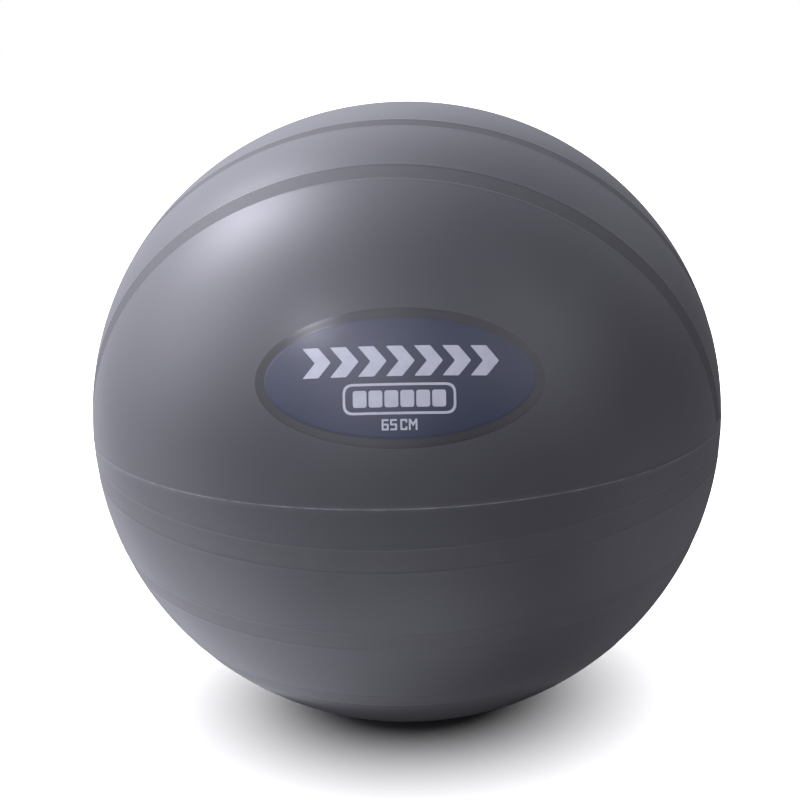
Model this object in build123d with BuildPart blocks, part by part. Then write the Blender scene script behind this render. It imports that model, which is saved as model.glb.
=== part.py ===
"""Inflated exercise ball, 650 mm across, with its moulded-in valve and pull-out plug.

The row stands on z = 0 with the parting ridge level. The oval label faces -Y
and the valve is on the far side, towards +Y. All lengths are in millimetres.
"""
from build123d import *
from math import cos, radians, sin
import os

os.makedirs("parts", exist_ok=True)

# --- Ball skin ---
BALL_DIAMETER = 650.0
RIDGE_HEIGHT = 0.4            # parting ridge, stands this far out of the skin
RIDGE_WIDTH = 1.6
SKIN_RADIUS = BALL_DIAMETER / 2 - RIDGE_HEIGHT
WALL = 2.4
TOP_RISE = 320.2              # from the parting ridge's plane to the top
BOTTOM_DROP = 319.2           # the same to the bottom, before the floor flattens it
FULLNESS = 0.558              # handle length of the section's curves; 0.5523 is an ellipse
FOOT_DEPTH = 1.8              # how far the floor flattens the bottom
CENTRE_HEIGHT = BOTTOM_DROP - FOOT_DEPTH   # parting ridge above the floor

# --- Moulded grip bands ---
BAND_DEPTH = 0.9
PATTERN_TURN = -4.0           # degrees about Z, from the label's middle
REACH = 360.0                 # longer than any radius, so that cutters run right out
# Upper half: strips that arch over the top, leaning back by ARCH_LEAN degrees.
ARCH_LEAN = 19.5
ARCH_BANDS = (                # offset of the strip's middle plane, width
    (-69.1, 18.9),
    (22.6, 15.0),
)
ARCH_END = 7.0                # the arches stop this far above the parting ridge
# Lower half: rings that dip towards the front and the back.
RING_DIP = 28.4               # drop over a horizontal run of REACH
RING_BANDS = (                # height at the sides from the ridge, width
    (-27.3, 21.4),
    (-118.6, 18.3),
    (-210.6, 18.0),
)

# --- Oval label ---
LABEL_LATITUDE = 20.4
LABEL_TURN = -0.8             # degrees about the label's own outward axis
RECESS_LENGTH = 254.5
RECESS_HEIGHT = 123.0
RECESS_DEPTH = 1.0
LABEL_LENGTH = 238.5
LABEL_HEIGHT = 106.0
LABEL_THICKNESS = 0.5

# --- Valve ---
VALVE_LATITUDE = 20.0
VALVE_FACE = 322.8            # flat floor of the plug's seat, from the ball's centre
SEAT_RADIUS = 13.2            # round seat that the plug's head sits in
NECK_RADIUS = 9.0
BUSH_FLANGE_RADIUS = 16.0
BUSH_FLANGE_THICKNESS = 2.5
BUSH_BODY_RADIUS = 7.0
BUSH_LENGTH = 20.0
BORE_RADIUS = 4.0
BORE_CLEARANCE = 0.05         # radial, between the bore and the plug's shank
PLUG_HEAD_RADIUS = 12.4
PLUG_HEAD_THICKNESS = 1.8
PLUG_LENGTH = 22.0
PLUG_TIP_RADIUS = 3.0
PLUG_TIP_LENGTH = 3.0

centre = Vector(0, 0, CENTRE_HEIGHT)


def outward(latitude, side):
    """Unit vector at a latitude, towards -Y for side -1 and +Y for side 1."""
    return Vector(0, side * cos(radians(latitude)), sin(radians(latitude)))


def skin_section(inset):
    """Half section of the ball with its surface and flat foot moved in by inset."""
    radius = SKIN_RADIUS - inset
    top = TOP_RISE - inset
    bottom = BOTTOM_DROP - inset
    with BuildSketch(Plane.XZ) as section:
        with BuildLine():
            Bezier(
                (0, CENTRE_HEIGHT - bottom),
                (radius * FULLNESS, CENTRE_HEIGHT - bottom),
                (radius, CENTRE_HEIGHT - bottom * FULLNESS),
                (radius, CENTRE_HEIGHT),
            )
            Bezier(
                (radius, CENTRE_HEIGHT),
                (radius, CENTRE_HEIGHT + top * FULLNESS),
                (radius * FULLNESS, CENTRE_HEIGHT + top),
                (0, CENTRE_HEIGHT + top),
            )
            Line((0, CENTRE_HEIGHT + top), (0, CENTRE_HEIGHT - bottom))
        make_face()
        with Locations((BALL_DIAMETER / 2, inset - BALL_DIAMETER / 2)):
            Rectangle(2 * BALL_DIAMETER, BALL_DIAMETER, mode=Mode.SUBTRACT)
    return section.sketch


side_view = Plane(
    origin=centre,
    x_dir=(sin(radians(-PATTERN_TURN)), cos(radians(-PATTERN_TURN)), 0),
    z_dir=(cos(radians(-PATTERN_TURN)), -sin(radians(-PATTERN_TURN)), 0),
)
label_plane = Plane(
    origin=centre,
    x_dir=(1, 0, 0),
    z_dir=outward(LABEL_LATITUDE, -1),
).rotated((0, 0, LABEL_TURN))
valve_plane = Plane(
    origin=centre + outward(VALVE_LATITUDE, 1) * VALVE_FACE,
    x_dir=(1, 0, 0),
    z_dir=outward(VALVE_LATITUDE, 1),
)

# --- Cutter for the grip bands: strips drawn in side view, less the band floor ---
with BuildPart() as band_cutter:
    with BuildSketch(side_view):
        for offset, width in ARCH_BANDS:
            with Locations(Pos(0, 0) * Rot(0, 0, ARCH_LEAN) * Pos(offset, 0)):
                Rectangle(width, 3 * REACH)
        with Locations((-REACH, REACH + ARCH_END)):
            Rectangle(2 * REACH, 2 * REACH, mode=Mode.INTERSECT)
        mirror(about=Plane.YZ)
    with BuildSketch(side_view):
        for height, width in RING_BANDS:
            top = height + width / 2
            low = height - width / 2
            with BuildLine():
                ThreePointArc((-REACH, top - RING_DIP), (0, top), (REACH, top - RING_DIP))
                Line((REACH, top - RING_DIP), (REACH, low - RING_DIP))
                ThreePointArc((REACH, low - RING_DIP), (0, low), (-REACH, low - RING_DIP))
                Line((-REACH, low - RING_DIP), (-REACH, top - RING_DIP))
            make_face()
    extrude(amount=REACH, both=True)
    revolve(skin_section(BAND_DEPTH), axis=Axis.Z, mode=Mode.SUBTRACT)

# --- Cutter for the label's shallow oval recess ---
with BuildPart() as recess_cutter:
    with BuildSketch(label_plane):
        Ellipse(RECESS_LENGTH / 2, RECESS_HEIGHT / 2)
    extrude(amount=REACH)
    revolve(skin_section(RECESS_DEPTH), axis=Axis.Z, mode=Mode.SUBTRACT)

# --- Skin: one hollow moulding ---
with BuildPart() as ball_shell:
    revolve(skin_section(0), axis=Axis.Z)
    # Round seat for the plug's head, then the hole that the bush is moulded into.
    with BuildSketch(valve_plane):
        Circle(SEAT_RADIUS)
    extrude(amount=BUSH_LENGTH, mode=Mode.SUBTRACT)
    with BuildSketch(valve_plane):
        Circle(NECK_RADIUS)
    extrude(amount=-BUSH_LENGTH, mode=Mode.SUBTRACT)
    revolve(skin_section(WALL), axis=Axis.Z, mode=Mode.SUBTRACT)
    with BuildSketch(Plane.XZ):
        with BuildLine():
            Polyline(
                (SKIN_RADIUS - WALL / 2, CENTRE_HEIGHT + RIDGE_WIDTH),
                (SKIN_RADIUS + RIDGE_HEIGHT, CENTRE_HEIGHT + RIDGE_WIDTH / 4),
                (SKIN_RADIUS + RIDGE_HEIGHT, CENTRE_HEIGHT - RIDGE_WIDTH / 4),
                (SKIN_RADIUS - WALL / 2, CENTRE_HEIGHT - RIDGE_WIDTH),
                close=True,
            )
        make_face()
    revolve(axis=Axis.Z)
    add(band_cutter.part, mode=Mode.SUBTRACT)
    add(recess_cutter.part, mode=Mode.SUBTRACT)
ball_shell.part.label = "ball_shell"
export_step(ball_shell.part, "parts/ball_shell.step")

# --- Valve bush: moulded into the skin, its flange against the inside ---
with BuildPart() as valve_bush:
    with BuildSketch(valve_plane.offset(-VALVE_FACE / 2)):
        Circle(BUSH_FLANGE_RADIUS)
    extrude(amount=VALVE_FACE)
    revolve(skin_section(WALL), axis=Axis.Z, mode=Mode.INTERSECT)
    revolve(skin_section(WALL + BUSH_FLANGE_THICKNESS), axis=Axis.Z, mode=Mode.SUBTRACT)
    with BuildSketch(valve_plane):
        Circle(NECK_RADIUS)
    extrude(amount=-(WALL + BUSH_FLANGE_THICKNESS))
    with BuildSketch(valve_plane):
        Circle(BUSH_BODY_RADIUS)
    extrude(amount=-BUSH_LENGTH)
    with BuildSketch(valve_plane):
        Circle(BORE_RADIUS)
    extrude(amount=-BUSH_LENGTH, mode=Mode.SUBTRACT)
valve_bush.part.label = "valve_bush"
export_step(valve_bush.part, "parts/valve_bush.step")

# --- Valve plug: flat head in the seat, straight shank in the bore ---
with BuildPart() as valve_plug:
    with BuildSketch(valve_plane):
        Circle(PLUG_HEAD_RADIUS)
    extrude(amount=PLUG_HEAD_THICKNESS)
    head_rim = valve_plug.edges().filter_by(GeomType.CIRCLE).sort_by(Axis.Y)[-1]
    fillet(head_rim, radius=PLUG_HEAD_THICKNESS / 3)
    with BuildSketch(valve_plane):
        Circle(BORE_RADIUS - BORE_CLEARANCE)
    extrude(amount=-(PLUG_LENGTH - PLUG_TIP_LENGTH))
    with BuildSketch(valve_plane.offset(-(PLUG_LENGTH - PLUG_TIP_LENGTH))):
        Circle(BORE_RADIUS - BORE_CLEARANCE)
    with BuildSketch(valve_plane.offset(-PLUG_LENGTH)):
        Circle(PLUG_TIP_RADIUS)
    loft()
valve_plug.part.label = "valve_plug"
export_step(valve_plug.part, "parts/valve_plug.step")

# --- Oval label: thin ink film on the recess floor ---
with BuildPart() as oval_label:
    with BuildSketch(label_plane):
        Ellipse(LABEL_LENGTH / 2, LABEL_HEIGHT / 2)
    extrude(amount=REACH)
    revolve(skin_section(RECESS_DEPTH - LABEL_THICKNESS), axis=Axis.Z, mode=Mode.INTERSECT)
    revolve(skin_section(RECESS_DEPTH), axis=Axis.Z, mode=Mode.SUBTRACT)
oval_label.part.label = "oval_label"
export_step(oval_label.part, "parts/oval_label.step")
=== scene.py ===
"""Exercise ball: satin PVC skin with matt grip bands, oval label and push-in valve."""
import math

import bmesh
import bpy
import numpy as np
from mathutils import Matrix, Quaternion, Vector


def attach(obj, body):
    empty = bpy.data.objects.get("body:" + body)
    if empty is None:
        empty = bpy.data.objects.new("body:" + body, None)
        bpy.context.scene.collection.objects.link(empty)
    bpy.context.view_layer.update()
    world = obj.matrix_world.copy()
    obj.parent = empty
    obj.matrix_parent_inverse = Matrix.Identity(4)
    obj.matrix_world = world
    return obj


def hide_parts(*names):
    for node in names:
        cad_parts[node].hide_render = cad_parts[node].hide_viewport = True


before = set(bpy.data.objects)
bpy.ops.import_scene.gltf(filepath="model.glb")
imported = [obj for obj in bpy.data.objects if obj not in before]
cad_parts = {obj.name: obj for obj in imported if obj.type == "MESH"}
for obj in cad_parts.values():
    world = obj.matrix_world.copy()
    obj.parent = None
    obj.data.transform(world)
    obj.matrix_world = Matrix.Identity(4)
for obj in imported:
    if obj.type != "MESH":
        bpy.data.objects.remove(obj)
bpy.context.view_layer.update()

MM = 0.001

# ---------------------------------------------------------------- sizes, in millimetres
# The same values as in the CAD model.
BALL_DIAMETER = 650.0
RIDGE_HEIGHT = 0.4
SKIN_RADIUS = BALL_DIAMETER / 2 - RIDGE_HEIGHT
WALL = 2.4
TOP_RISE = 320.2
BOTTOM_DROP = 319.2
FULLNESS = 0.558
FOOT_DEPTH = 1.8
CENTRE_HEIGHT = BOTTOM_DROP - FOOT_DEPTH

PATTERN_TURN = math.radians(-4.0)
ARCH_LEAN = math.radians(19.5)
ARCH_BANDS = ((-69.1, 18.9), (22.6, 15.0))
ARCH_END = 7.0
RING_REACH = 360.0
RING_DIP = 28.4
RING_BANDS = ((-27.3, 21.4), (-118.6, 18.3), (-210.6, 18.0))

LABEL_LATITUDE = math.radians(20.4)
LABEL_TURN = math.radians(-0.8)
RECESS_LENGTH, RECESS_HEIGHT, RECESS_DEPTH = 254.5, 123.0, 1.0
LABEL_LENGTH, LABEL_HEIGHT = 238.5, 106.0

VALVE_LATITUDE = math.radians(20.0)
VALVE_FACE = 322.8
SEAT_RADIUS = 13.2
NECK_RADIUS = 9.0
BORE_RADIUS = 4.0
PLUG_HEAD_RADIUS = 12.4
PLUG_HEAD_THICKNESS = 1.8
PLUG_LENGTH = 22.0

BORE_CLEARANCE = 0.05
FOOT_RADIUS = SKIN_RADIUS * math.sqrt(1 - (CENTRE_HEIGHT / BOTTOM_DROP) ** 2)

# Looks only: relief shallower than the CAD's, with soft edges.
BAND_SINK = 0.3          # arches
RING_SHARE = 0.65        # how deep the rings are beside the arches
EDGE_SOFTNESS = 0.8
LIP_HEIGHT, LIP_PLACE, LIP_WIDTH = 0.1, 1.4, 0.7
RIDGE_HALF_WIDTH, RIDGE_SLOPE = 0.75, 0.55
SEAT_SOFTNESS = 0.4
INK_SINK = 0.2           # the ink's face under the skin
RIM_SINK = INK_SINK + 0.06
RIM_WIDTH = (RECESS_HEIGHT - LABEL_HEIGHT) / 2
INK_OVERLAP = 1.6        # the rim runs this far under the ink, then drops to the recess floor
INK_EDGE = ((0.985, 0.01), (0.994, 0.06), (0.998, 0.18), (1.0, 0.34))   # share, drop

# The label's print, laid out in the label's own plane.
PRINT_RISE = 0.09        # the pale print's face above the ink
PRINT_ROOT = 0.05        # and how far it reaches into the ink
PRINT_GRID = 5           # the print is cut this fine, to follow the label's curve
PRINT_REACH = (100, 50)  # from the label's middle, sideways and up
CHEVRONS, CHEVRON_START, CHEVRON_PITCH = 7, -84.0, 24.3
BARS, BAR_START, BAR_PITCH, BAR_WIDTH = 6, -40.2, 13.7, 11.9
SIZE_CORNER = (-15.6, -45.6)

# The plug's dished head and the ribs down its shank.
DISH_RADIUS, DISH_DEPTH = 3.6, 0.55
RIBS, FIRST_RIB, RIB_PITCH, RIB_DEPTH = 4, -4.4, 3.6, 0.35

# Where the mesh is cut, as distances from each moulded edge.
ARCH_CUTS = (-0.8, 0.0, 0.8, 1.5, 2.4)
RING_CUTS = (-0.8, 0.0, 0.8, 2.0)
RIDGE_FLAT = 0.5
RIDGE_CUTS = (-1.2, -RIDGE_FLAT, 0.0, RIDGE_FLAT, 1.2)
RIM_CUTS = (0.0, -2.1, -4.2, -6.4, -8.5, -9.6, -10.6, -11.6)
FOOT_CUTS = (-3.0, 0.0, 3.0)
ON_CUT = 0.02            # points this near a cut count as on it
VALVE_PATCH = 20.0       # inside this radius the mesh is made of rings
VALVE_RINGS = (18.5, 16.5, 15.0, 14.3, 14.0, 13.8, 13.6, 13.4, 13.2, 12.0, 10.5, NECK_RADIUS)
ROUND_SEGMENTS = 96
LABEL_SEGMENTS, LABEL_RINGS = 256, 24
HALVINGS = 12            # how often a cut point's place is halved in on
NORMAL_STEP = 0.15       # arm of the slopes that give the skin's normals
SECTION_POINTS = 600
SAME_ANGLE = 1e-6        # radians; rim points this close in angle count as level
FAR = 1000.0             # stands for "not near here"

CENTRE = np.array([0.0, 0.0, CENTRE_HEIGHT])


# ---------------------------------------------------------------- the ball's surface
def quarter_section(rise):
    """Points of the section from the level radius to the pole, as in the CAD model."""
    corners = np.array(
        [
            (SKIN_RADIUS, 0.0),
            (SKIN_RADIUS, rise * FULLNESS),
            (SKIN_RADIUS * FULLNESS, rise),
            (0.0, rise),
        ]
    )
    t = np.linspace(0.0, 1.0, SECTION_POINTS)[:, None]
    weights = ((1 - t) ** 3, 3 * (1 - t) ** 2 * t, 3 * (1 - t) * t**2, t**3)
    return sum(w * c for w, c in zip(weights, corners))


UPPER = quarter_section(TOP_RISE)
LOWER = quarter_section(BOTTOM_DROP)
SECTION_SINE = np.concatenate(
    [-(LOWER[:, 1] / np.hypot(*LOWER.T))[::-1], (UPPER[:, 1] / np.hypot(*UPPER.T))[1:]]
)
SECTION_RADIUS = np.concatenate([np.hypot(*LOWER.T)[::-1], np.hypot(*UPPER.T)[1:]])

LABEL_OUT = np.array([0.0, -math.cos(LABEL_LATITUDE), math.sin(LABEL_LATITUDE)])
LABEL_LEVEL = np.array([1.0, 0.0, 0.0])
LABEL_RIGHT = LABEL_LEVEL * math.cos(LABEL_TURN) + np.cross(LABEL_OUT, LABEL_LEVEL) * math.sin(
    LABEL_TURN
)
LABEL_UP = np.cross(LABEL_OUT, LABEL_RIGHT)
VALVE_OUT = np.array([0.0, math.cos(VALVE_LATITUDE), math.sin(VALVE_LATITUDE)])
VALVE_RIGHT = np.array([1.0, 0.0, 0.0])
VALVE_UP = np.cross(VALVE_OUT, VALVE_RIGHT)


def base_radius(d):
    """Radius of the plain ball, with its flat foot, in each unit direction."""
    radius = np.interp(d[:, 2], SECTION_SINE, SECTION_RADIUS)
    to_floor = CENTRE_HEIGHT / np.maximum(-d[:, 2], 1e-6)
    return np.where(d[:, 2] < 0, np.minimum(radius, to_floor), radius)


def smooth(x):
    """0 below -1, 1 above 1, and a soft step between."""
    t = np.clip((x + 1) / 2, 0, 1)
    return t * t * (3 - 2 * t)


def pattern_axes(d):
    """The point's place along the pattern's own front-to-back axis, and its height."""
    p = d * base_radius(d)[:, None]
    back = -p[:, 0] * math.sin(PATTERN_TURN) + p[:, 1] * math.cos(PATTERN_TURN)
    return back, p[:, 2]


def arch_distance(d, band):
    """Distance on the skin outside an arch's edge; negative inside the band."""
    offset, width = ARCH_BANDS[band]
    back, height = pattern_axes(d)
    level = -np.abs(back) * math.cos(ARCH_LEAN) + height * math.sin(ARCH_LEAN)
    slope = np.sqrt(np.maximum(1 - (level / SKIN_RADIUS) ** 2, 0.05))
    side = (np.abs(level - offset) - width / 2) / slope
    return np.maximum(side, ARCH_END - height)


def ring_distance(d, band):
    """Distance on the skin outside a ring's edge; negative inside the band."""
    rise, width = RING_BANDS[band]
    back, height = pattern_axes(d)
    bow = (RING_REACH**2 + RING_DIP**2) / (2 * RING_DIP)
    level = height + bow - np.sqrt(bow**2 - back**2)
    slope = np.sqrt(np.maximum(1 - (height / SKIN_RADIUS) ** 2, 0.05))
    return (np.abs(level - rise) - width / 2) / slope


def oval_distance(d, length, height):
    """Distance outside an oval drawn square to the label; negative inside it."""
    p = d * base_radius(d)[:, None]
    u = p @ LABEL_RIGHT / (length / 2)
    v = p @ LABEL_UP / (height / 2)
    q = np.hypot(u, v)
    slope = np.hypot(u / (length / 2), v / (height / 2)) / np.maximum(q, 1e-6)
    distance = (q - 1) / np.maximum(slope, 1e-6)
    return np.where(p @ LABEL_OUT > 0, distance, FAR)


def valve_distance(d):
    """Distance from the valve's axis; large on the other side of the ball."""
    p = d * base_radius(d)[:, None]
    off_axis = np.linalg.norm(np.cross(p, VALVE_OUT), axis=1)
    return np.where(p @ VALVE_OUT > 0, off_axis, FAR)


def band_distance(d):
    """Distance outside the nearest grip band; negative inside one."""
    nearest = np.full(len(d), FAR)
    for band in range(len(ARCH_BANDS)):
        nearest = np.minimum(nearest, arch_distance(d, band))
    for band in range(len(RING_BANDS)):
        nearest = np.minimum(nearest, ring_distance(d, band))
    return nearest


def foot_distance(d):
    """Distance from the ball's upright axis, below the ridge; large above it."""
    return np.where(d[:, 2] < 0, np.hypot(d[:, 0], d[:, 1]) * base_radius(d), FAR)


def ridge_distance(d):
    """Height above the parting ridge's plane."""
    return d[:, 2] * base_radius(d)


def ridge_relief(d):
    """The parting ridge: a fine line of flash whose height wavers a little."""
    height = ridge_distance(d)
    around = np.arctan2(d[:, 0], -d[:, 1])
    waver = np.sin(17 * around + 0.6) * np.sin(41 * around) + np.sin(97 * around + 2.0)
    tall = RIDGE_HEIGHT * (0.85 + 0.075 * waver)
    return tall * (1 - smooth((np.abs(height) - RIDGE_HALF_WIDTH) / RIDGE_SLOPE))


def skin_point(d):
    """Where the outer surface is in each unit direction, in millimetres."""
    radius = base_radius(d)
    band = band_distance(d)
    depth = np.where(d[:, 2] > 0, 1.0, RING_SHARE)
    relief = -BAND_SINK * depth * (1 - smooth(band / EDGE_SOFTNESS))
    relief += LIP_HEIGHT * depth * np.exp(-(((band - LIP_PLACE) / LIP_WIDTH) ** 2))
    oval = oval_distance(d, RECESS_LENGTH, RECESS_HEIGHT)
    relief -= RIM_SINK * (1 - smooth((oval + RIM_WIDTH / 2) / (RIM_WIDTH / 2)))
    relief -= (RECESS_DEPTH - RIM_SINK) * (1 - smooth(oval + RIM_WIDTH + INK_OVERLAP))
    relief += ridge_relief(d)
    seat = valve_distance(d)
    seat_radius = VALVE_FACE / np.maximum(d @ VALVE_OUT, 0.1)
    in_seat = 1 - smooth((seat - SEAT_RADIUS - SEAT_SOFTNESS) / SEAT_SOFTNESS)
    radius = radius + relief
    radius = radius * (1 - in_seat) + np.minimum(radius, seat_radius) * in_seat
    return CENTRE + d * radius[:, None]


def skin_normal(d):
    """Outward normals, from the slope of the finished surface."""
    helper = np.where(np.abs(d[:, 2:3]) < 0.9, [[0.0, 0.0, 1.0]], [[1.0, 0.0, 0.0]])
    east = np.cross(helper, d)
    east /= np.linalg.norm(east, axis=1)[:, None]
    north = np.cross(d, east)
    step = NORMAL_STEP / SKIN_RADIUS

    def moved(way):
        shifted = d + way * step
        return skin_point(shifted / np.linalg.norm(shifted, axis=1)[:, None])

    normal = np.cross(moved(east) - moved(-east), moved(north) - moved(-north))
    return normal / np.linalg.norm(normal, axis=1)[:, None]


# ---------------------------------------------------------------- mesh building
def even_ball(subdivisions):
    """Unit directions and triangles of an even ball."""
    bm = bmesh.new()
    bmesh.ops.create_icosphere(bm, subdivisions=subdivisions, radius=1.0)
    d = np.array([v.co[:] for v in bm.verts])
    triangles = np.array([[v.index for v in f.verts] for f in bm.faces])
    bm.free()
    return d / np.linalg.norm(d, axis=1)[:, None], triangles


def cut_along(d, triangles, field, level):
    """Splits the triangles along field == level, so that mesh edges follow that line."""
    value = field(d) - level
    value[np.abs(value) < ON_CUT] = 0.0
    sign = np.sign(value)
    corner = sign[triangles]
    crossed = (corner.min(1) < 0) & (corner.max(1) > 0)
    kept = triangles[~crossed]
    work = triangles[crossed]
    if not len(work):
        return d, triangles

    edges = np.sort(np.concatenate([work[:, [0, 1]], work[:, [1, 2]], work[:, [2, 0]]]), axis=1)
    edges = np.unique(edges, axis=0)
    edges = edges[sign[edges[:, 0]] * sign[edges[:, 1]] < 0]
    a, b = edges.T
    low, high = np.zeros(len(a)), np.ones(len(a))
    for _ in range(HALVINGS):
        share = (low + high) / 2
        new = d[a] * (1 - share)[:, None] + d[b] * share[:, None]
        new /= np.linalg.norm(new, axis=1)[:, None]
        on_first_side = np.sign(field(new) - level) == sign[a]
        low = np.where(on_first_side, share, low)
        high = np.where(on_first_side, high, share)
    number = {(int(i), int(j)): len(d) + k for k, (i, j) in enumerate(edges)}

    def between(i, j):
        return number[(i, j) if i < j else (j, i)]

    pieces = []
    for triangle in work:
        i, j, k = (int(n) for n in triangle)
        signs = [sign[i], sign[j], sign[k]]
        if 0 in signs:
            while sign[i] != 0:
                i, j, k = j, k, i
            m = between(j, k)
            pieces += [(i, j, m), (i, m, k)]
        else:
            while sign[j] != sign[k]:
                i, j, k = j, k, i
            m, n = between(i, j), between(i, k)
            pieces += [(i, m, n), (m, j, k), (m, k, n)]
    return np.concatenate([d, new]), np.concatenate([kept, np.array(pieces)])


def add_mesh(name, points_mm, faces, materials, body):
    """A smooth-shaded mesh object that rides on a CAD body."""
    mesh = bpy.data.meshes.new(name)
    mesh.from_pydata([tuple(p) for p in np.asarray(points_mm) * MM], [], faces)
    mesh.update()
    for polygon in mesh.polygons:
        polygon.use_smooth = True
    for material in materials:
        mesh.materials.append(material)
    piece = bpy.data.objects.new(name, mesh)
    bpy.context.scene.collection.objects.link(piece)
    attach(piece, body)
    return piece


# ---------------------------------------------------------------- materials
def shader(name, **values):
    """A new material; returns it with its node tree and its Principled shader."""
    material = bpy.data.materials.new(name)
    material.use_nodes = True
    tree = material.node_tree
    bsdf = tree.nodes["Principled BSDF"]
    for socket, value in values.items():
        bsdf.inputs[socket.replace("_", " ")].default_value = value
    return material, tree, bsdf


def node(tree, kind, links=None, **settings):
    """Adds a node, sets its properties and inputs, and links sockets into it."""
    made = tree.nodes.new(kind)
    for key, value in settings.items():
        if hasattr(made, key):
            setattr(made, key, value)
        else:
            made.inputs[key.replace("_", " ")].default_value = value
    for socket, source in (links or {}).items():
        tree.links.new(source, made.inputs[socket])
    return made


def math_node(tree, operation, first, second):
    """A Math node on a socket and a second socket or number."""
    made = tree.nodes.new("ShaderNodeMath")
    made.operation = operation
    tree.links.new(first, made.inputs[0])
    if isinstance(second, float):
        made.inputs[1].default_value = second
    else:
        tree.links.new(second, made.inputs[1])
    return made.outputs[0]


def noise(tree, scale, detail=2.0, roughness=0.5):
    """Object-space noise; scale is in features per metre."""
    place = node(tree, "ShaderNodeTexCoord")
    links = {"Vector": place.outputs["Object"]}
    return node(
        tree, "ShaderNodeTexNoise", links, Scale=scale, Detail=detail, Roughness=roughness
    ).outputs["Fac"]


def spread(tree, source, low, high):
    """Maps a 0 to 1 value onto low to high."""
    return node(
        tree, "ShaderNodeMapRange", {"Value": source}, To_Min=low, To_Max=high
    ).outputs["Result"]


def two_tones(tree, bsdf, source, dark, light):
    """Colour that wanders between two tones."""
    ramp = node(tree, "ShaderNodeValToRGB", {"Fac": source})
    ramp.color_ramp.elements[0].position = 0.3
    ramp.color_ramp.elements[1].position = 0.7
    ramp.color_ramp.elements[0].color = (*dark, 1)
    ramp.color_ramp.elements[1].color = (*light, 1)
    tree.links.new(ramp.outputs["Color"], bsdf.inputs["Base Color"])


def bumps(tree, bsdf, layers):
    """Stacked bump from (height source, distance in mm) layers."""
    normal = None
    for source, distance in layers:
        links = {"Height": source}
        if normal is not None:
            links["Normal"] = normal
        normal = node(
            tree, "ShaderNodeBump", links, Strength=1.0, Distance=distance * MM
        ).outputs["Normal"]
    tree.links.new(normal, bsdf.inputs["Normal"])


def skin_material():
    material, tree, bsdf = shader("pvc_skin", IOR=1.5)
    two_tones(tree, bsdf, noise(tree, 9.0, 3.0), (0.0687, 0.0687, 0.0735), (0.0747, 0.0747, 0.080))
    rough = spread(tree, noise(tree, 26.0, 4.0), 0.28, 0.33)
    tree.links.new(rough, bsdf.inputs["Roughness"])
    bumps(tree, bsdf, [(noise(tree, 900.0, 2.0), 0.006), (noise(tree, 11.0, 1.0), 0.2)])
    return material


def band_material(name, dark, light, smoothest, roughest, gloss):
    """Matt, finely grained grip band; gloss is its specular level."""
    material, tree, bsdf = shader(name, IOR=1.5, Specular_IOR_Level=gloss)
    two_tones(tree, bsdf, noise(tree, 30.0, 3.0), dark, light)
    rough = spread(tree, noise(tree, 300.0, 2.0), smoothest, roughest)
    tree.links.new(rough, bsdf.inputs["Roughness"])
    place = node(tree, "ShaderNodeTexCoord")
    grain = node(
        tree, "ShaderNodeTexVoronoi", {"Vector": place.outputs["Object"]}, Scale=900.0
    )
    bumps(tree, bsdf, [(grain.outputs["Distance"], 0.05)])
    return material


def ridge_highlight_material():
    """Ridge faces painted paler in broken streaks: a painted highlight where the ridge catches the
    light.
    """
    material, tree, bsdf = shader("ridge_painted_highlight", IOR=1.5)
    # The pale tone is a painted highlight along the ridge, broken up by noise.
    two_tones(tree, bsdf, noise(tree, 55.0, 5.0, 0.7), (0.075, 0.074, 0.080), (0.20, 0.20, 0.21))
    rough = spread(tree, noise(tree, 240.0, 3.0), 0.35, 0.55)
    tree.links.new(rough, bsdf.inputs["Roughness"])
    bumps(tree, bsdf, [(noise(tree, 600.0, 3.0), 0.05)])
    return material


def rim_material():
    material, tree, bsdf = shader("label_rim", IOR=1.5)
    two_tones(tree, bsdf, noise(tree, 20.0, 2.0), (0.048, 0.048, 0.051), (0.053, 0.053, 0.056))
    rough = spread(tree, noise(tree, 60.0, 3.0), 0.1, 0.14)
    tree.links.new(rough, bsdf.inputs["Roughness"])
    bumps(tree, bsdf, [(noise(tree, 14.0, 1.0), 0.2)])
    return material


def ink_material():
    material, tree, bsdf = shader("slate_ink", IOR=1.5, Coat_Weight=0.4, Coat_Roughness=0.14)
    two_tones(tree, bsdf, noise(tree, 18.0, 4.0), (0.030, 0.037, 0.064), (0.036, 0.043, 0.072))
    rough = spread(tree, noise(tree, 90.0, 3.0), 0.28, 0.36)
    tree.links.new(rough, bsdf.inputs["Roughness"])
    bumps(tree, bsdf, [(noise(tree, 500.0, 2.0), 0.006), (noise(tree, 16.0, 1.0), 0.2)])
    return material


def print_material():
    material, tree, bsdf = shader("pale_print", IOR=1.45)
    two_tones(tree, bsdf, noise(tree, 120.0, 4.0), (0.44, 0.455, 0.505), (0.50, 0.515, 0.565))
    rough = spread(tree, noise(tree, 260.0, 3.0), 0.38, 0.5)
    tree.links.new(rough, bsdf.inputs["Roughness"])
    bumps(tree, bsdf, [(noise(tree, 900.0, 2.0), 0.01)])
    return material


def plug_material():
    material, tree, bsdf = shader("plug_white", IOR=1.5, Subsurface_Weight=0.08)
    bsdf.inputs["Subsurface Radius"].default_value = (0.002, 0.002, 0.002)
    two_tones(tree, bsdf, noise(tree, 60.0, 3.0), (0.72, 0.72, 0.70), (0.78, 0.78, 0.76))
    rough = spread(tree, noise(tree, 240.0, 3.0), 0.36, 0.46)
    tree.links.new(rough, bsdf.inputs["Roughness"])
    bumps(tree, bsdf, [(noise(tree, 1500.0, 2.0), 0.01)])
    return material


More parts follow.
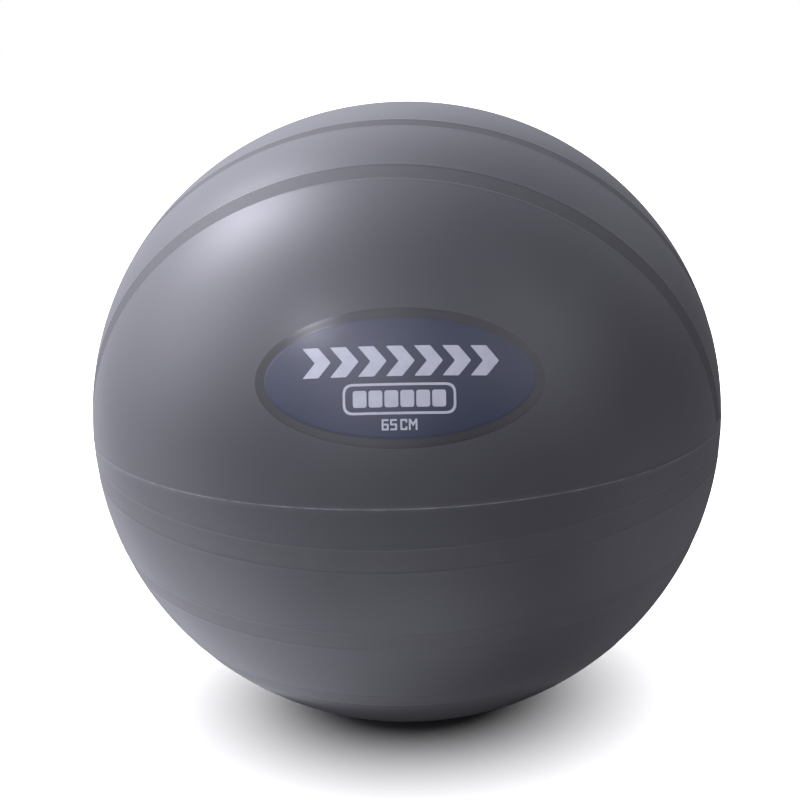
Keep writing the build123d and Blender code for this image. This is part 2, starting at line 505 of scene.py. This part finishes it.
def bush_material():
    material, tree, bsdf = shader("bush_grey", IOR=1.5)
    two_tones(tree, bsdf, noise(tree, 80.0, 3.0), (0.030, 0.030, 0.033), (0.038, 0.038, 0.042))
    rough = spread(tree, noise(tree, 300.0, 3.0), 0.5, 0.6)
    tree.links.new(rough, bsdf.inputs["Roughness"])
    bumps(tree, bsdf, [(noise(tree, 1200.0, 2.0), 0.015)])
    return material


def floor_material():
    material, tree, bsdf = shader("pale_floor", Roughness=0.9, Specular_IOR_Level=0.0)
    two_tones(tree, bsdf, noise(tree, 2.0, 2.0), (0.078, 0.078, 0.078), (0.082, 0.082, 0.082))
    return material


def shade_material():
    material, tree, bsdf = shader("contact_shade", Roughness=1.0, Specular_IOR_Level=0.0)
    two_tones(tree, bsdf, noise(tree, 9.0, 2.0), (0.0, 0.0, 0.0), (0.01, 0.01, 0.01))
    return material


# The third material here paints a highlight along the ridge.
SKIN, RIM, RIDGE_HIGHLIGHT = skin_material(), rim_material(), ridge_highlight_material()
BAND = band_material("arch_band", (0.060, 0.060, 0.064), (0.066, 0.066, 0.070), 0.5, 0.58, 0.42)
RING = band_material("ring_band", (0.071, 0.071, 0.075), (0.077, 0.077, 0.081), 0.33, 0.38, 0.48)
SKIN_MATERIALS = (SKIN, BAND, RIM, RIDGE_HIGHLIGHT, RING)
PLAIN_PART, BAND_PART, RIM_PART, RIDGE_HIGHLIGHT_PART, RING_PART = range(5)
INK, PRINT = ink_material(), print_material()
PLUG, BUSH = plug_material(), bush_material()


# ---------------------------------------------------------------- the skin
def rim_of_hole(triangles):
    """Indices of the points along a mesh's only open edge."""
    edges = np.concatenate([triangles[:, [0, 1]], triangles[:, [1, 2]], triangles[:, [2, 0]]])
    edges, uses = np.unique(np.sort(edges, axis=1), axis=0, return_counts=True)
    return np.unique(edges[uses == 1])


def without_valve(d, triangles, radius):
    """Cuts a round hole about the valve's axis; also returns the hole's rim."""
    d, triangles = cut_along(d, triangles, valve_distance, radius)
    inside = valve_distance(d)[triangles].min(1) < radius - ON_CUT
    return d, triangles[~inside], rim_of_hole(triangles[~inside])


def joined(d, outer_rim, inner_rim):
    """Triangles between two rims round the valve's axis, in step with each other."""

    def in_order(rim):
        angle = np.arctan2(d[rim] @ VALVE_UP, d[rim] @ VALVE_RIGHT)
        angle = (angle + SAME_ANGLE) % (2 * math.pi)
        order = np.argsort(angle)
        return [*rim[order], rim[order[0]]], [*angle[order], angle[order[0]] + 2 * math.pi]

    a, a_angle = in_order(outer_rim)
    b, b_angle = in_order(inner_rim)
    faces, i, j = [], 0, 0
    while i < len(a) - 1 or j < len(b) - 1:
        a_left, b_left = i < len(a) - 1, j < len(b) - 1
        if not b_left or (a_left and a_angle[i + 1] <= b_angle[j + 1] + SAME_ANGLE):
            faces.append((a[i], a[i + 1], b[j]))
            i += 1
        else:
            faces.append((a[i], b[j + 1], b[j]))
            j += 1
    return np.array(faces)


def moulded_cuts():
    """Every line that the skin's mesh follows, as (distance function, distance)."""
    yield lambda d: pattern_axes(d)[0], 0.0
    for band in range(len(ARCH_BANDS)):
        for step in ARCH_CUTS:
            yield lambda d, band=band: arch_distance(d, band), step
    for band in range(len(RING_BANDS)):
        for step in RING_CUTS:
            yield lambda d, band=band: ring_distance(d, band), step
    for height in RIDGE_CUTS:
        yield ridge_distance, height
    for step in RIM_CUTS:
        yield lambda d: oval_distance(d, RECESS_LENGTH, RECESS_HEIGHT), step
    for step in FOOT_CUTS:
        yield foot_distance, FOOT_RADIUS + step


def skin_mesh():
    """Directions and triangles of the outer surface, and the rim of the valve's hole."""
    d, triangles = even_ball(7)
    for field, level in moulded_cuts():
        d, triangles = cut_along(d, triangles, field, level)

    # Fine rings round the valve, so that its seat is truly round.
    d, triangles, rim = without_valve(d, triangles, VALVE_PATCH)
    turns = np.linspace(0, 2 * math.pi, ROUND_SEGMENTS, endpoint=False)[:, None]
    sides = np.cos(turns) * VALVE_RIGHT + np.sin(turns) * VALVE_UP
    reach = base_radius(VALVE_OUT[None])[0]
    rings = []
    for radius in VALVE_RINGS:
        out = math.sqrt(reach**2 - radius**2)
        rings.append(len(d) + np.arange(ROUND_SEGMENTS))
        d = np.concatenate([d, (VALVE_OUT * out + sides * radius) / reach])
    for outer, inner in zip([rim, *rings], rings):
        triangles = np.concatenate([triangles, joined(d, outer, inner)])
    return d, triangles, rings[-1]


def skin_parts(d, triangles):
    """Which entry of SKIN_MATERIALS each triangle takes."""
    middle = d[triangles].mean(1)
    middle /= np.linalg.norm(middle, axis=1)[:, None]
    in_band = band_distance(middle) < 0.0
    in_ring = in_band & (middle[:, 2] < 0)
    in_rim = oval_distance(middle, RECESS_LENGTH, RECESS_HEIGHT) < 0.0
    # Faces along the ridge take the material with the painted highlight.
    on_ridge = np.abs(ridge_distance(middle)) < RIDGE_FLAT
    return np.select(
        [in_rim, in_ring, in_band, on_ridge],
        [RIM_PART, RING_PART, BAND_PART, RIDGE_HIGHLIGHT_PART],
        PLAIN_PART,
    )


def shade_smoothly(mesh):
    """Gives the skin the normals of its formula, so that cuts leave no facets."""
    co = np.zeros(len(mesh.vertices) * 3)
    mesh.vertices.foreach_get("co", co)
    away = co.reshape(-1, 3) / MM - CENTRE
    far = np.linalg.norm(away, axis=1)
    toward = away / far[:, None]
    normals = skin_normal(toward)
    inner_side = far < base_radius(toward) - WALL * 0.75
    normals[inner_side] = -toward[inner_side]
    mesh.normals_split_custom_set_from_vertices(normals.tolist())


def build_skin():
    """The hollow moulding: outer surface, inner surface and the valve's hole."""
    d, triangles, rim = skin_mesh()
    inner_d, inner_triangles = even_ball(5)
    inner_d, inner_triangles, inner_rim = without_valve(inner_d, inner_triangles, NECK_RADIUS)
    inner_triangles = inner_triangles[:, ::-1] + len(d)
    neck = joined(np.concatenate([d, inner_d]), rim, inner_rim + len(d))
    inner = CENTRE + inner_d * (base_radius(inner_d) - WALL)[:, None]
    inner[:, 2] = np.maximum(inner[:, 2], WALL)

    points = np.concatenate([skin_point(d), inner])
    faces = np.concatenate([triangles, inner_triangles, neck]).tolist()
    piece = add_mesh("ball_skin", points, faces, SKIN_MATERIALS, "ball")
    kinds = np.full(len(faces), PLAIN_PART, np.int32)
    kinds[: len(triangles)] = skin_parts(d, triangles)
    piece.data.polygons.foreach_set("material_index", kinds)

    bm = bmesh.new()
    bm.from_mesh(piece.data)
    cut_away = [v for v in bm.verts if not v.link_faces]
    bmesh.ops.delete(bm, geom=cut_away, context="VERTS")
    bm.to_mesh(piece.data)
    bm.free()
    shade_smoothly(piece.data)
    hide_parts("ball_shell")


build_skin()


# ---------------------------------------------------------------- the label
def on_label(u, v, inset):
    """Points above (u, v) in the label's plane, that far under the plain skin."""
    u, v = np.asarray(u, float), np.asarray(v, float)
    out = np.sqrt(SKIN_RADIUS**2 - u**2 - v**2)
    for _ in range(6):
        p = u[:, None] * LABEL_RIGHT + v[:, None] * LABEL_UP + out[:, None] * LABEL_OUT
        size = np.linalg.norm(p, axis=1)
        radius = base_radius(p / size[:, None]) - inset
        out = np.sqrt(np.maximum(radius**2 - u**2 - v**2, 1.0))
    return CENTRE + u[:, None] * LABEL_RIGHT + v[:, None] * LABEL_UP + out[:, None] * LABEL_OUT


def build_oval():
    """The ink film: a closed oval sheet with a softly rounded edge."""
    around = LABEL_SEGMENTS
    turns = np.linspace(0, 2 * math.pi, around, endpoint=False)
    rings = [(share, 0.0) for share in np.linspace(0.04, 0.96, LABEL_RINGS)]
    rings += [*INK_EDGE, (1.0, RECESS_DEPTH - INK_SINK)]
    points = [on_label([0.0], [0.0], INK_SINK)]
    for share, sink in rings:
        u = LABEL_LENGTH / 2 * share * np.cos(turns)
        v = LABEL_HEIGHT / 2 * share * np.sin(turns)
        points.append(on_label(u, v, INK_SINK + sink))
    points.append(on_label([0.0], [0.0], RECESS_DEPTH))
    faces = [(0, 1 + i, 1 + (i + 1) % around) for i in range(around)]
    for ring in range(len(rings) - 1):
        a, b = 1 + ring * around, 1 + (ring + 1) * around
        faces += [
            (a + i, b + i, b + (i + 1) % around, a + (i + 1) % around) for i in range(around)
        ]
    last, under = 1 + (len(rings) - 1) * around, 1 + len(rings) * around
    faces += [(last + i, under, last + (i + 1) % around) for i in range(around)]
    piece = add_mesh("oval_label_ink", np.concatenate(points), faces, (INK,), "ball")
    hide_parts("oval_label")


def rounded(corners, radius, steps=6):
    """The outline of a polygon with rounded corners."""
    outline = []
    count = len(corners)
    for i in range(count):
        here = np.array(corners[i], float)
        before = np.array(corners[i - 1], float) - here
        after = np.array(corners[(i + 1) % count], float) - here
        start = here + before / np.linalg.norm(before) * radius
        end = here + after / np.linalg.norm(after) * radius
        for t in np.linspace(0, 1, steps + 1):
            outline.append((1 - t) ** 2 * start + 2 * (1 - t) * t * here + t**2 * end)
    return outline


def flat_shape(outlines):
    """A filled flat mesh from closed outlines; inner outlines make holes."""
    curve = bpy.data.curves.new("outline", "CURVE")
    curve.dimensions = "2D"
    curve.fill_mode = "FRONT"
    for outline in outlines:
        line = curve.splines.new("POLY")
        line.points.add(len(outline) - 1)
        for point, (x, y) in zip(line.points, outline):
            point.co = (x, y, 0, 1)
        line.use_cyclic_u = True
    holder = bpy.data.objects.new("outline", curve)
    mesh = bpy.data.meshes.new_from_object(holder)
    bpy.data.objects.remove(holder)
    bpy.data.curves.remove(curve)
    return mesh


def size_letters(left, base):
    """Flat outlines that read "65 CM" in plain square strokes, from a lower left corner."""
    w, h, s = 6.0, 9.6, 1.6   # width, height and stroke
    waist, hook = 5.8, 3.2
    half, notch, dip = 3.7, 3.4, 6.4
    six = [(0, 0), (w, 0), (w, waist), (s, waist), (s, h - s), (w, h - s), (w, h), (0, h)]
    bowl = [(s, s), (w - s, s), (w - s, waist - s), (s, waist - s)]
    five = six + [(0, waist - s), (w - s, waist - s), (w - s, s), (0, s)]
    cee = [(0, 0), (w, 0), (w, hook), (w - s, hook), (w - s, s), (s, s), (s, h - s)]
    cee += [(w - s, h - s), (w - s, h - hook), (w, h - hook), (w, h), (0, h)]
    em = [(0, 0), (s, 0), (s, h - notch), (half, h - dip), (2 * half - s, h - notch)]
    em += [(2 * half - s, 0), (2 * half, 0), (2 * half, h), (2 * half - s, h)]
    em += [(half, h - notch), (s, h), (0, h)]

    def placed(start, corners, radius):
        moved = [(left + start + x, base + y) for x, y in corners]
        return rounded(moved, radius, 4)

    return [
        flat_shape([placed(0.0, six, 0.75), placed(0.0, bowl, 0.5)]),
        flat_shape([placed(7.3, five, 0.75)]),
        flat_shape([placed(16.1, cee, 0.75)]),
        flat_shape([placed(23.4, em, 0.1)]),
    ]


def print_on_label(name, flats):
    """Lays flat meshes onto the curved label as one thin raised layer of pale ink."""
    bm = bmesh.new()
    for flat in flats:
        bm.from_mesh(flat)
        bpy.data.meshes.remove(flat)
    bmesh.ops.remove_doubles(bm, verts=bm.verts, dist=0.01)
    for axis, reach in zip((Vector((1, 0, 0)), Vector((0, 1, 0))), PRINT_REACH):
        for place in range(-reach, reach + 1, PRINT_GRID):
            geom = bm.verts[:] + bm.edges[:] + bm.faces[:]
            bmesh.ops.bisect_plane(bm, geom=geom, plane_co=axis * place, plane_no=axis)
    bmesh.ops.dissolve_degenerate(bm, edges=bm.edges, dist=0.02)
    bmesh.ops.triangulate(bm, faces=bm.faces)
    for face in bm.faces:
        if face.normal.z < 0:
            face.normal_flip()
    bm.verts.index_update()
    flat = np.array([v.co[:] for v in bm.verts])
    faces = [[v.index for v in f.verts] for f in bm.faces]
    rims = [
        (e.verts[0].index, e.verts[1].index, [v.index for v in e.link_faces[0].verts])
        for e in bm.edges
        if e.is_boundary
    ]
    bm.free()
    count = len(flat)
    upper = on_label(flat[:, 0], flat[:, 1], INK_SINK - PRINT_RISE)
    lower = on_label(flat[:, 0], flat[:, 1], INK_SINK + PRINT_ROOT)
    made = [tuple(f) for f in faces]
    made += [tuple(i + count for i in reversed(f)) for f in faces]
    for a, b, loop in rims:
        if loop[(loop.index(a) + 1) % 3] != b:
            a, b = b, a
        made.append((b, a, a + count, b + count))
    piece = add_mesh(name, np.concatenate([upper, lower]), made, (PRINT,), "ball")
    for polygon in piece.data.polygons:
        polygon.use_smooth = False


def chevron(left, low, high, stroke, point):
    """Corners of an arrowhead stroke that points right."""
    middle = (low + high) / 2
    return [
        (left, low),
        (left + stroke, low),
        (left + stroke + point, middle),
        (left + stroke, high),
        (left, high),
        (left + point, middle),
    ]


def box(left, right, low, high):
    """Corners of an upright rectangle."""
    return [(left, low), (right, low), (right, high), (left, high)]


def build_print():
    """A generic mark: a row of chevrons, a framed row of bars under it, and the size."""
    row = []
    for i in range(CHEVRONS):
        corners = chevron(CHEVRON_START + CHEVRON_PITCH * i, 1.0, 27.5, 14.0, 11.0)
        row.append(flat_shape([rounded(corners, 1.2)]))
    print_on_label("label_chevrons", row)
    frame_out = rounded(box(-49.0, 49.0, -32.0, -5.0), 9.0)
    frame_in = rounded(box(-46.8, 46.8, -29.8, -7.2), 7.2)
    badge = [flat_shape([frame_out, frame_in])]
    for i in range(BARS):
        left = BAR_START + BAR_PITCH * i
        badge.append(flat_shape([rounded(box(left, left + BAR_WIDTH, -25.8, -11.2), 2.4)]))
    print_on_label("label_badge", badge)
    print_on_label("label_size", size_letters(*SIZE_CORNER))


build_oval()
build_print()


# ---------------------------------------------------------------- the valve
def lathe(name, profile, material, body, segments=ROUND_SEGMENTS):
    """Turns a closed (radius, height) profile about the valve's axis."""
    turns = np.linspace(0, 2 * math.pi, segments, endpoint=False)
    start = CENTRE + VALVE_OUT * VALVE_FACE
    points, rings = [], []
    for radius, height in profile:
        on_axis = radius == 0
        spots = [0.0] if on_axis else turns
        rings.append((len(points), on_axis))
        for a in spots:
            side = VALVE_RIGHT * math.cos(a) + VALVE_UP * math.sin(a)
            points.append(start + VALVE_OUT * height + side * radius)
    faces = []
    for (a, a_tip), (b, b_tip) in zip(rings, rings[1:]):
        for i in range(segments):
            j = (i + 1) % segments
            if a_tip:
                faces.append((a, b + i, b + j))
            elif b_tip:
                faces.append((a + i, b, a + j))
            else:
                faces.append((a + i, b + i, b + j, a + j))
    piece = add_mesh(name, np.array(points), faces, (material,), body)
    bm = bmesh.new()
    bm.from_mesh(piece.data)
    bmesh.ops.recalc_face_normals(bm, faces=bm.faces)
    bm.to_mesh(piece.data)
    bm.free()
    return piece


def fillet(centre_r, centre_h, radius, start, end, steps=5):
    """Points of a small arc in the lathe's profile, angles in degrees."""
    angles = np.radians(np.linspace(start, end, steps))
    return [(centre_r + radius * math.cos(a), centre_h + radius * math.sin(a)) for a in angles]


def build_plug():
    """The stopper: a head with a dished middle and a shank with soft ribs."""
    head, rim = PLUG_HEAD_THICKNESS, PLUG_HEAD_RADIUS
    shank = BORE_RADIUS - BORE_CLEARANCE
    groove = shank - RIB_DEPTH
    dish = head - DISH_DEPTH
    # The second point keeps the dish's floor flat in the shading.
    profile = [(0.0, dish), (DISH_RADIUS - 0.1, dish)]
    profile += fillet(DISH_RADIUS, dish + 0.3, 0.3, -90, 0, 4)[:-1]
    profile += fillet(DISH_RADIUS + 0.8, dish + 0.3, 0.5, 180, 90, 4)
    profile += [(8.0, head + 0.02), (rim - 0.9, head - 0.1)]
    profile += fillet(rim - 0.7, head - 0.8, 0.7, 80, 0)
    profile += fillet(rim - 0.3, 0.3, 0.3, 0, -90, 4)
    profile += [(6.0, 0.0), (shank - 0.1, 0.0)]
    for rib in range(RIBS):
        low = FIRST_RIB - RIB_PITCH * rib
        profile += [(groove, low + 1.6), (shank, low + 0.7), (shank, low)]
        profile += [(groove, low - 0.3)]
    profile += [(groove, 2.6 - PLUG_LENGTH), (3.0, 0.3 - PLUG_LENGTH)]
    profile += [(2.6, -PLUG_LENGTH), (0.0, -PLUG_LENGTH)]
    piece = lathe("valve_plug_turned", profile, PLUG, "plug")
    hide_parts("valve_plug")


build_plug()
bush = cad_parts["valve_bush"]
bush.data.materials.clear()
bush.data.materials.append(BUSH)

# ---------------------------------------------------------------- stage, camera, light
BALL_CENTRE = Vector(CENTRE * MM)
CAMERA_LENS = 76.59
CAMERA_SHIFT = (-0.00875, 0.01405)
CAMERA_AZIMUTH, CAMERA_ELEVATION, CAMERA_REACH = 1.1, 15.16, 1.7875
CAMERA_ROLL = math.radians(-2.11)
FLOOR_RADIUS = 14.0
CONTACT_RADIUS, CONTACT_DROP = 0.17, 0.01
OVERHEAD_SPREAD, OVERHEAD_POWER = math.radians(120), 87.0
OVERHEAD_COLOUR = (0.985, 0.98, 1.0)
STUDIO_TINT = (0.955, 0.95, 1.085)
# Soft glows of the studio round the ball: azimuth, elevation, tightness, strength.
STUDIO = (
    (240, 46, 45, 9.0),
    (250, 60, 45, 2.6),
    (320, 41, 140, 7.0),
    (240, 45, 3, 2.6),
    (180, 25, 10, 0.4),
    (165, 5, 14, 0.15),
    (200, 0, 14, 0.3),
    (270, 30, 10, 2.2),
    (342, 30, 10, 2.1),
    (54, 30, 10, 1.15),
    (126, 30, 10, 0.6),
    (90, -30, 10, 0.52),
    (135, -30, 10, 0.22),
    (220, -35, 10, 1.1),
    (270, -30, 10, 1.2),
    (315, -30, 10, 0.5),
    (270, -60, 10, 1.1),
    (0, -60, 10, 1.0),
)


def towards(azimuth, elevation):
    """Unit vector from the ball: azimuth 0 is the label's side, 90 is +X."""
    a, e = math.radians(azimuth), math.radians(elevation)
    return Vector((math.sin(a) * math.cos(e), -math.cos(a) * math.cos(e), math.sin(e)))


def disc(name, radius, height, material):
    """A flat round piece of the stage."""
    bm = bmesh.new()
    bmesh.ops.create_circle(bm, cap_ends=True, segments=ROUND_SEGMENTS, radius=radius)
    mesh = bpy.data.meshes.new(name)
    bm.to_mesh(mesh)
    bm.free()
    mesh.materials.append(material)
    made = bpy.data.objects.new(name, mesh)
    made.location.z = height
    bpy.context.scene.collection.objects.link(made)
    return made


def add_floor():
    """A white floor under its own overhead light, so that it adds no glare to the ball."""
    floor = disc("floor", FLOOR_RADIUS, 0.0, floor_material())
    floor.visible_diffuse = floor.visible_glossy = floor.visible_shadow = False
    # The shaded spot of floor that the ball's underside sees round its foot.
    spot = disc("contact_shade", CONTACT_RADIUS, -CONTACT_DROP, shade_material())
    spot.visible_camera = False
    data = bpy.data.lights.new("overhead", "SUN")
    data.angle = OVERHEAD_SPREAD
    data.energy = OVERHEAD_POWER
    data.color = OVERHEAD_COLOUR
    light = bpy.data.objects.new("overhead", data)
    bpy.context.scene.collection.objects.link(light)
    lit = bpy.data.collections.new("lit_by_overhead")
    lit.objects.link(floor)
    light.light_linking.receiver_collection = lit


def add_studio():
    """The studio as soft glows in the world; the camera itself sees plain white."""
    world = bpy.data.worlds.new("studio")
    bpy.context.scene.world = world
    world.use_nodes = True
    tree = world.node_tree
    way = node(tree, "ShaderNodeTexCoord").outputs["Generated"]
    total = None
    for azimuth, elevation, tightness, strength in STUDIO:
        facing = tree.nodes.new("ShaderNodeVectorMath")
        facing.operation = "DOT_PRODUCT"
        tree.links.new(way, facing.inputs[0])
        facing.inputs[1].default_value = towards(azimuth, elevation)
        front = math_node(tree, "MAXIMUM", facing.outputs["Value"], 0.0)
        soft = math_node(tree, "POWER", front, float(tightness))
        glow = math_node(tree, "MULTIPLY", soft, strength)
        total = glow if total is None else math_node(tree, "ADD", total, glow)
    studio = tree.nodes["Background"]
    studio.inputs["Color"].default_value = (*STUDIO_TINT, 1)
    tree.links.new(total, studio.inputs["Strength"])
    backdrop = tree.nodes.new("ShaderNodeBackground")
    backdrop.inputs["Color"].default_value = (1, 1, 1, 1)
    mix = tree.nodes.new("ShaderNodeMixShader")
    path = tree.nodes.new("ShaderNodeLightPath")
    tree.links.new(path.outputs["Is Camera Ray"], mix.inputs[0])
    tree.links.new(studio.outputs[0], mix.inputs[1])
    tree.links.new(backdrop.outputs[0], mix.inputs[2])
    tree.links.new(mix.outputs[0], tree.nodes["World Output"].inputs["Surface"])


def add_camera():
    """A long lens a little above the ridge's plane, a little to the right, and rolled."""
    data = bpy.data.cameras.new("camera")
    data.lens = CAMERA_LENS
    data.shift_x, data.shift_y = CAMERA_SHIFT
    camera = bpy.data.objects.new("camera", data)
    bpy.context.scene.collection.objects.link(camera)
    out = towards(CAMERA_AZIMUTH, CAMERA_ELEVATION)
    camera.location = BALL_CENTRE + out * CAMERA_REACH
    turn = (-out).to_track_quat("-Z", "Y")
    camera.rotation_mode = "QUATERNION"
    camera.rotation_quaternion = Quaternion(out, CAMERA_ROLL) @ turn
    bpy.context.scene.camera = camera


add_floor()
add_studio()
add_camera()
bpy.context.scene.view_settings.view_transform = "Standard"
